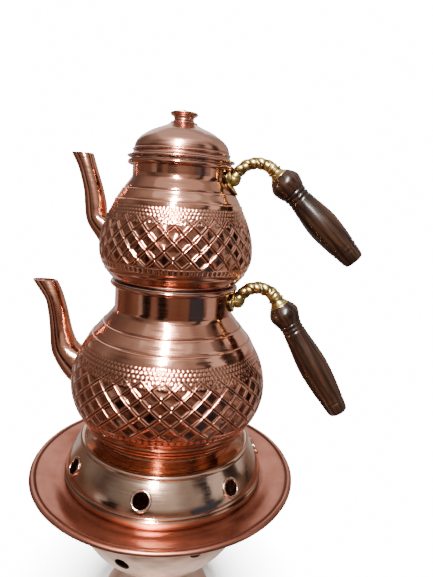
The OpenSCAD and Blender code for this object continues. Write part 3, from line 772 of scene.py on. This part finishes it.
def teapot_outline():
    z, plug, neck = TEAPOT_Z / MM, 49.2, TEAPOT_NECK / MM
    belly, belly_z, neck_z = TEAPOT_BELLY / MM, TEAPOT_BELLY_Z / MM, z + 84
    foot = z - PLUG / MM
    start = np.array((plug + 4, z))
    return trace((0, foot), (plug - 1, foot), (plug, foot + 1), (plug, z - 0.4), (plug + 0.4, z),
                 start, (start + (7, 5.5), (belly, belly_z - 9), (belly, belly_z), 36),
                 ((belly, belly_z + 22), (neck + 11.3, neck_z - 14.7), (neck + 0.9, neck_z), 56),
                 ((neck + 0.4, neck_z + 0.7), (neck, neck_z + 1.1), (neck, neck_z + 2), 6),
                 (neck, neck_z + 6), (neck, TEAPOT_BEAD_Z / MM - 1.5)) * MM


def marks_above(base, steps, rings, dots, lattice, border):
    """Heights in mm above a pot's base, as heights in the frame."""
    def up(heights):
        return [base + h * MM for h in heights]
    return {"steps": up(steps), "rings": up(rings), "dots": base + dots * MM,
            "lattice": up(lattice), "border": base + border * MM}


KETTLE_LINE = kettle_outline()
TEAPOT_LINE = teapot_outline()
pot("kettle_skin", KETTLE_LINE,
    marks_above(KETTLE_Z, (109, 98.5), (12.4, 16.5, 21), 90.6, (36.5, 82.3), 32.2),
    34, 7, 102, "kettle", "kettle_body")
pot("teapot_skin", TEAPOT_LINE,
    marks_above(TEAPOT_Z, (75.2, 66.4), (8.6,), 62.5, (17.5, 56), 12.2),
    30, 6, 90, "teapot", "teapot_body")


# ---------------------------------------------------------------- cutting holes

def pegs(places, radius, depth):
    """One closed object of round pegs. places: (centre, direction) of each."""
    work = bmesh.new()
    for centre, direction in places:
        spin = Vector(direction).to_track_quat("Z", "Y").to_matrix().to_4x4()
        bmesh.ops.create_cone(work, cap_ends=True, segments=48, radius1=radius, radius2=radius,
                              depth=depth, matrix=Matrix.Translation(centre) @ spin)
    return loose(work)


def loose(work):
    """An object made from a bmesh, which it uses up."""
    mesh = bpy.data.meshes.new("cutter")
    work.to_mesh(mesh)
    work.free()
    obj = bpy.data.objects.new("cutter", mesh)
    bpy.context.scene.collection.objects.link(obj)
    return obj


def solid_inside(outline):
    """A closed solid of all that lies within a pot's mid-wall."""
    mid = inner_of(outline, SHEET / 2)[::2]
    n, least = 160, 2 * MM
    angles = TAU * np.arange(n) / n
    work = bmesh.new()
    rows = []
    for r, z in mid:
        r = max(r, least)
        rows.append([work.verts.new((r * math.cos(t), r * math.sin(t), z)) for t in angles])
    for low_row, high_row in zip(rows[:-1], rows[1:]):
        for i in range(n):
            k = (i + 1) % n
            work.faces.new((low_row[i], low_row[k], high_row[k], high_row[i]))
    work.faces.new(rows[0][::-1])
    work.faces.new(rows[-1])
    return loose(work)


def cut(obj, cutter):
    """Takes cutter's volume out of obj."""
    tool = obj.modifiers.new("cut", "BOOLEAN")
    tool.object = cutter
    tool.operation = "DIFFERENCE"
    tool.solver = "EXACT"
    bpy.context.view_layer.update()
    graph = bpy.context.evaluated_depsgraph_get()
    mesh = bpy.data.meshes.new_from_object(obj.evaluated_get(graph))
    obj.modifiers.clear()
    obj.data = mesh
    mesh.set_sharp_from_angle(angle=math.radians(SHARP))
    bpy.data.objects.remove(cutter)


def dents(verts, depth, start):
    """Shallow hand-made unevenness along the vertices' height, beyond a radius."""
    r = np.hypot(verts[:, 0], verts[:, 1])
    a = np.arctan2(verts[:, 1], verts[:, 0])
    w = (np.sin(3 * a + 0.7) + 0.6 * np.sin(7 * a + 190 * r) + 0.5 * np.sin(13 * a - 260 * r)
         + 0.4 * np.sin(23 * a + 90 * r))
    out = verts.copy()
    out[:, 2] += depth * w * ease(r, start, start + 12 * MM)
    return out


# ---------------------------------------------------------------- lid and knob

def make_lid():
    z, top, brim, knob = LID_Z / MM, LID_TOP / MM, LID_R / MM, KNOB_R / MM
    dome, collar, stud = 40.0, 37.0, 1.5
    edge = arc((brim - 0.9, z + 0.9), 0.9, -90, 80, 8)
    outer = trace(edge, ((brim - 2.6, z + 1.9), (dome + 1.0, z + 2.4), (dome + 0.3, z + 4.6), 10),
                  ((dome + 0.1, z + 5.2), (dome + 0.9, z + 5.6), (dome + 0.9, z + 6.3), 5),
                  ((dome + 0.9, z + 7.1), (dome - 0.3, z + 7.0), (dome - 0.4, z + 7.9), 6),
                  ((dome - 1.2, z + 14), (dome - 4.5, top - 12), (dome - 12.5, top - 7.2), 26),
                  ((dome - 18, top - 4), (knob + 4, top - 2.5), (knob + 0.5, top), 16),
                  (knob - 0.6, top), (stud, top))
    back = inner_of(outer, WALL)[len(edge) + 8:-2][::-1]
    section = trace((collar - WALL, z), outer, (stud, top - WALL), (knob, top - WALL), back,
                    (collar - WALL, z + WALL)) * MM
    # painted shade: the lid's two step rings are darkened
    lathe("lid_skin", section, "lid", ["lid_shell"], [LID_COPPER], n=220,
          shade=lambda r, z: -0.35 * float(bump(z, LID_Z + 4.4 * MM, 1.4 * MM)
                                           + bump(z, LID_Z + 7.9 * MM, 1.0 * MM)))
    h = (KNOB_TOP - LID_TOP) / MM
    neck = knob - 3.3
    knob_line = trace(
        (stud, top), (knob - 0.5, top), arc((knob - 0.7, top + 0.7), 0.7, -80, 70, 6),
        bezier((knob - 0.5, top + 1.4), (neck + 1.4, top + 1.7), (neck + 0.3, top + 2.2),
               (neck, top + 0.36 * h), 8),
        ((neck, top + 0.6 * h), (knob - 1.4, top + 0.6 * h), (knob - 0.5, top + 0.68 * h), 10),
        arc((knob - 1.1, top + 0.78 * h), 1.1, -40, 85, 8),
        bezier((knob - 1.4, top + 0.885 * h), (knob - 3, top + 0.92 * h), (4, top + h),
               (stud, top + h), 8)) * MM
    lathe("knob_skin", knob_line, "lid", ["lid_knob"], [LID_COPPER], n=120)


# ---------------------------------------------------------------- dome

def make_dome():
    z, seat, skirt, base = DOME_Z / MM, KETTLE_Z / MM, DOME_R / MM, KETTLE_BASE / MM
    crest, lip = base + 15, base - 5
    rise = seat - z
    wall = bezier((skirt, z + 2.5), (skirt, z + 0.42 * rise), (crest + 7, seat - 9),
                  (crest + 0.8, seat), 46)
    wall = wall + normals_of(wall) * (0.55 * bump(wall[:, 1], z + 6.2, 1.0)
                                      + 0.45 * bump(wall[:, 1], z + 9.0, 0.9)
                                      - 0.35 * bump(wall[:, 1], z + 7.6, 0.8))[:, None]
    outer = trace((skirt, z), (skirt + 0.5, z + 0.8), (skirt + 0.3, z + 1.8), wall,
                  ((crest + 2.4, seat + 2.4), (crest - 1, seat + 5), (crest - 4, seat + 2.8), 18),
                  ((crest - 7, seat + 1.3), (base + 6, seat + 0.4), (base + 3, seat), 8),
                  (base - 1, seat), (lip, seat))
    back = inner_of(outer, WALL)[::-1]
    back[:, 1] = np.clip(back[:, 1], z, None)
    section = trace(outer, (lip, seat - WALL), back[1:], (skirt - WALL, z)) * MM
    # painted shade in the sunk line between the wall's two beads, and a painted shadow line at the
    # skirt's foot
    dome = lathe("dome_skin", section, "dome", ["stand_dome"], [DOME_COPPER], n=252,
                 shade=lambda r, h: -0.4 * float(bump(h, DOME_Z + 7.6 * MM, 1.2 * MM)
                                                 + bump(h, DOME_Z + 1.0 * MM, 2.2 * MM)))
    vents, first, tilt, hole = 7, -87, math.radians(31), 6.75
    ring, level = skirt - 0.37 * (skirt - crest), z + 0.62 * rise
    spots = []
    for k in range(vents):
        turn = math.radians(first + k * 360 / vents)
        out = Vector((math.cos(turn) * math.cos(tilt), math.sin(turn) * math.cos(tilt),
                      math.sin(tilt)))
        spots.append((Vector((ring * math.cos(turn), ring * math.sin(turn), level)) * MM, out))
    cut(dome, pegs(spots, hole * MM, 20 * MM))
    # rolled lips round the vents
    lip_r, lip_w, lip_h, proud = hole + 0.55, 1.15, 1.0, 0.2
    n, m = 64, 14
    verts, faces = [], []
    for spot, out in spots:
        centre = spot + out * proud * MM
        side = out.cross(Vector((0, 0, 1))).normalized()
        up = side.cross(out)
        start = len(verts)
        for i in range(n):
            t = TAU * i / n
            spoke = math.cos(t) * side + math.sin(t) * up
            for j in range(m):
                b = TAU * j / m
                verts.append(centre + spoke * (lip_r + lip_w * math.cos(b)) * MM
                             + out * lip_h * math.sin(b) * MM)
        for i in range(n):
            here, there = start + i * m, start + (i + 1) % n * m
            for j in range(m):
                k = (j + 1) % m
                faces.append([here + j, there + j, there + k, here + k])
    piece("dome_vent_lips", [tuple(v) for v in verts], faces, "dome", ["stand_dome"],
          [DOME_COPPER])


# ---------------------------------------------------------------- tray, bowl and foot

def make_tray():
    flat, edge, rim, bead = DOME_Z / MM, TRAY_Z / MM, TRAY_R / MM, BEAD / MM
    hole, seat, bend = 72, 82, 93
    crease = rim - 5
    border = 6                       # steps of the curve outside the crease
    top = trace((bend, flat),
                ((99, flat + 0.2), (crease - 12, edge - 2), (crease - 0.7, edge - 1.1), 26),
                (crease, edge - 1.5),
                ((crease + 0.6, edge - 0.6), (rim - 3.4, edge), (rim - bead, edge), border))
    under = top[:-border - 1] - (0, WALL)
    section = trace((hole, flat - WALL), (seat, flat - WALL), under,
                    arc((rim - bead, edge - bead), bead, 190, 450, 18), top[::-1],
                    (seat, flat), (hole, flat)) * MM
    # painted shade in the crease under the rim, and a painted shadow ring on the tray just outside
    # the dome's skirt
    lathe("tray_skin", section, "stand", ["tray"], [TRAY_COPPER], n=300,
          wobble=lambda v: dents(v, 0.16 * MM, 96 * MM),
          shade=lambda r, z: -0.45 * float(bump(r, (crease + 0.2) * MM, 1.3 * MM)
                                           + 0.8 * bump(r, 91 * MM, 2.6 * MM)))


def make_bowl():
    top, bottom, r = BOWL_TOP / MM, BOWL_LOW / MM, BOWL_R / MM
    flat, flange = 22.0, 12
    mid = bottom + math.sqrt(r * r - flat * flat)

    def ball(radius, foot):
        return arc((0, mid), radius, -math.degrees(math.acos(foot / radius)), 0, 46)

    inside = ball(r - WALL, flat - WALL)
    section = trace((0, bottom), (flat, bottom), ball(r, flat), (r, mid), (r, top),
                    (r - flange, top), (r - flange, top - WALL), (r - WALL, top - WALL),
                    (r - WALL, mid), inside[::-1], (0, inside[0][1])) * MM

    def hammered(v):
        out = v.copy()
        a = np.arctan2(v[:, 1], v[:, 0])
        z = v[:, 2]
        w = np.sin(11 * a + 310 * z) + np.sin(17 * a - 420 * z + 1) + 0.7 * np.sin(29 * a + 530 * z)
        scale = 1 + 0.0014 * w * ease(-z, -(top - 6) * MM, -(top - 14) * MM)
        out[:, 0] *= scale
        out[:, 1] *= scale
        return out

    bowl = lathe("bowl_skin", section, "stand", ["lower_bowl"], [BOWL_COPPER], n=252,
                 closed=False, wobble=hammered)
    # air holes, every second one higher
    holes, first, drop, step = 8, -99, 35, 17
    spots = []
    for k in range(holes):
        turn = math.radians(first + k * 360 / holes)
        out = Vector((math.cos(turn), math.sin(turn), 0))
        spots.append((out * r * MM + Vector((0, 0, (mid - drop + k % 2 * step) * MM)), out))
    cut(bowl, pegs(spots, 6.5 * MM, 60 * MM))


def make_foot():
    rim, top, waist = FOOT_R / MM, FOOT_TOP / MM, 23
    toe = arc((rim - 1.6, 1.6), 1.6, -90, 90, 12)
    outer = trace(toe, ((rim - 9, 4.6), (waist + 1, 0.3 * top), (waist, 0.72 * top), 24),
                  ((22.8, 0.8 * top), (23.4, 0.86 * top), (24.6, 0.9 * top), 6),
                  ((26.2, 0.92 * top), (27, 0.94 * top), (26.6, 0.975 * top), 8))
    back = inner_of(outer, WALL)[len(toe):][::-1]
    section = trace(outer, back, (rim - 4, 3.0), (rim - 4, 0)) * MM
    lathe("foot_skin", section, "stand", ["foot"], [BOWL_COPPER], n=220)


# ---------------------------------------------------------------- spouts

def make_spout(name, stations, belly, level, outline, body, node):
    """A bent sheet-metal spout. stations: radius past the belly, height, slope, half depth,
    half width."""
    path = through([(belly / MM + a, level / MM + b, c, d, e) for a, b, c, d, e in stations], 8)
    n = 56
    shell = Shell()
    rows = []
    a = TAU * np.arange(n) / n
    for inset, stops in ((0.0, path), (WALL, path[::-1])):
        for r, z, slope, deep, wide in stops:
            t = math.radians(slope)
            ridge = 0.35 * np.cos(a) ** 8 * np.sign(np.cos(a)) * (inset == 0)
            u = (deep - inset) * np.cos(a) - ridge
            xyz = (-(r + u * math.sin(t)), (wide - inset) * np.sin(a), z - u * math.cos(t))
            rows.append(shell.add(np.column_stack(xyz) * MM))
    shell.skin(rows, closed=True)
    verts, faces, relief_shade, _ = shell.arrays()
    spout = piece(name, verts, faces, body, [node], [COPPER], relief_shade=relief_shade)
    cut(spout, solid_inside(outline))


# ---------------------------------------------------------------- handles

def plate(shell, neck, plate_z, rivet_z, outline):
    """The riveted plate, laid on the neck: a disc with a lobe under each rivet."""
    disc_r, lobe_r, lobe_x = 9.0, 5.0, 7.0
    z_line, r_line = outline[:, 1] / MM, outline[:, 0] / MM
    rising = np.argmax(z_line > plate_z - 40)
    n = 96
    t = TAU * np.arange(n) / n
    lobes = []
    for x in (-lobe_x, lobe_x):
        z = rivet_z - plate_z
        along = x * np.cos(t) + z * np.sin(t)
        off = x * np.sin(t) - z * np.cos(t)
        left = np.clip(lobe_r**2 - off**2, 0, None)
        lobes.append(np.where(off**2 < lobe_r**2, along + np.sqrt(left), 0))
    reach = np.maximum(np.maximum(*lobes), disc_r)
    rows = []
    for share, height in ((1.0, -0.5), (1.0, 1.6), (0.985, 2.4), (0.93, 2.9), (0.85, 3.0),
                          (0.6, 3.0), (0.3, 3.1)):
        z = plate_z + reach * share * np.sin(t)
        r = np.interp(z, z_line[rising:], r_line[rising:]) + height
        turn = reach * share * np.cos(t) / neck
        xyz = np.column_stack((r * np.cos(turn), r * np.sin(turn), z)) * MM
        # painted shade: the plate's lower rows, against the neck, are darkened, its top a little
        # lightened
        rows.append(shell.add(xyz, -0.3 if height < 2 else 0.1))
    shell.capped(rows)


def make_handle(name, neck, arm, bend, bend_z, plate_z, rivet_z, slope_deg, length, outline,
                grip_mat):
    """The cast arm with its riveted plate and ferrule, and the turned grip. Sizes in mm."""
    slope = math.radians(slope_deg)
    middle = np.array((neck + arm - 0.4 + bend, bend_z))
    first, last = 165.0, 90.0 - slope_deg
    shell = Shell()
    plate(shell, neck, plate_z, rivet_z, outline)
    # bent arm with leaves twisted round it
    n = 48
    t = TAU * np.arange(n) / n
    rows = []
    for u in np.linspace(0, 1, 110):
        angle = math.radians(first + (last - first) * u)
        out = np.array((math.cos(angle), math.sin(angle)))
        leaf = np.abs(np.sin(1.5 * t + 13 * u)) ** 0.7 * np.abs(np.sin(math.pi * 6.5 * u)) ** 0.5
        ends = bump(u, 0.05, 0.09) + bump(u, 0.94, 0.05) + 0.7 * bump(u, 0.86, 0.03)
        swell = 0.86 + 0.17 * leaf * (1 - min(ends, 1)) + 0.20 * ends
        # painted shade: the arm is darker where it is thinner, between the leaves
        rows.append(hoop(shell, middle + bend * out, out, arm * swell, t, (swell - 0.97) * 3))
    # round boss where the arm meets the plate
    angle = math.radians(first)
    start = middle + bend * np.array((math.cos(angle), math.sin(angle)))
    boss = []
    for b in (-80, -60, -35, 0, 35, 60, 80):
        rise = math.radians(b)
        centre = start + (0, (arm + 0.7) * math.sin(rise))
        boss.append(hoop(shell, centre, (1, 0), (arm + 0.7) * math.cos(rise), t, 0.1))
    shell.capped(rows)
    shell.capped(boss)
    # ferrule: a funnel that swallows the grip's root
    axis = np.array((math.cos(slope), -math.sin(slope)))
    side = np.array((math.sin(slope), math.cos(slope)))
    origin = middle + bend * side + 7.0 * axis
    funnel = [(2.5, -7.6), (arm + 0.2, -7.6), (arm + 1.3, -6.9), (arm + 1.3, -6.2),
              (arm + 0.2, -5.4), (arm + 0.5, -4.2), (arm + 1.5, -2.6), (8.0, -1.3), (8.6, -0.8),
              (8.7, -0.3), (8.3, 0), (2.5, 0)]
    # painted shade in the ferrule's two sunk rings; the rest a little lightened
    shell.skin([hoop(shell, origin + axis * s, side, r, t, -0.25 if s in (-5.4, -6.9) else 0.1)
                for r, s in funnel], closed=True)
    verts, faces, relief_shade, _ = shell.arrays()
    piece(name + "_arm_skin", verts, faces, name, [name + "_handle_arm"],
          [CAST_BRASS], relief_shade=relief_shade, sharp=50)
    # turned grip
    half = through([(9.2, 0), (12.8, 8), (9.6, 23.5), (12.8, 0.58 * length), (9.2, length - 5),
                    (6.8, length)], 26)
    for spot, deep in ((17.5, 0.6), (21.0, 0.8), (24.5, 0.6), (length - 15, 0.5),
                       (length - 10.5, 0.6)):
        half[:, 0] -= deep * bump(half[:, 1], spot, 1.1)
    section = trace((2.6, 0), (8.0, 0), half, (5.3, length), (5.3, length - 4), (2.6, length - 4))
    shell = Shell()
    n = 96
    t = TAU * np.arange(n) / n
    shell.skin([hoop(shell, origin + axis * s, side, r, t) for r, s in section], closed=True)
    verts, faces, relief_shade, _ = shell.arrays()
    piece(name + "_grip_skin", verts, faces, name, [name + "_grip"], [grip_mat])


def grip_wood(name, slope_deg):
    slope = math.radians(slope_deg)
    return wood(name, Vector((math.cos(slope), 0, -math.sin(slope))))


make_lid()
make_dome()
make_tray()
make_bowl()
make_foot()
make_spout("kettle_spout_skin",
           [(-8, -3, 25, 19, 17), (5, 5, 38, 16, 15), (16, 17.5, 65, 13, 12.5),
            (19.5, 29.5, 82, 11, 10.5), (21.4, 39.5, 83, 9.9, 9.5), (23.8, 52.5, 76, 9.2, 8.8),
            (28, 66.5, 70, 8.8, 8.3), (37, 80.5, 90, 12, 7.6)],
           KETTLE_BELLY, KETTLE_BELLY_Z, KETTLE_LINE, "kettle", "kettle_spout")
make_spout("teapot_spout_skin",
           [(-8, 5.6, 25, 14, 13), (0.6, 13.6, 40, 11, 11), (8, 22.6, 68, 9.8, 9.5),
            (9.8, 34.6, 85, 9.8, 8.8), (12, 46.6, 78, 8.8, 8.2), (15.6, 58.6, 73, 8.2, 7.8),
            (19, 68.6, 74, 8.3, 7.5), (23, 77, 90, 9.9, 7.2)],
           TEAPOT_BELLY, TEAPOT_BELLY_Z, TEAPOT_LINE, "teapot", "teapot_spout")
kettle_rim, teapot_rim = KETTLE_BEAD_Z / MM, TEAPOT_BEAD_Z / MM
make_handle("kettle", KETTLE_NECK / MM, 5.6, 18, kettle_rim - 16.1, kettle_rim - 12.6,
            kettle_rim - 12.6, KETTLE_SLOPE, 106, KETTLE_LINE,
            grip_wood("kettle_wood", KETTLE_SLOPE))
make_handle("teapot", TEAPOT_NECK / MM, 5.0, 19.5, teapot_rim - 15.1, teapot_rim - 13.9,
            TEAPOT_Z / MM + 88.8, TEAPOT_SLOPE, 92, TEAPOT_LINE,
            grip_wood("teapot_wood", TEAPOT_SLOPE))

# pieces that show as they were packed
for material, nodes in (
        (TRAY_COPPER, ["tray_rivets"]), (LID_COPPER, ["lid_collar", "lid_knob_rivet"]),
        (BRASS, ["kettle_handle_rivets", "teapot_handle_rivets", "kettle_grip_nut",
                 "teapot_grip_nut", "burner_collar"]),
        (STEEL, ["tray_rim_wire", "kettle_rim_wire", "teapot_rim_wire", "kettle_grip_rod",
                 "teapot_grip_rod", "burner_cup"]), (WICK, ["burner_wick"])):
    for node in nodes:
        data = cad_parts[node].data
        data.materials.clear()
        data.materials.append(material)
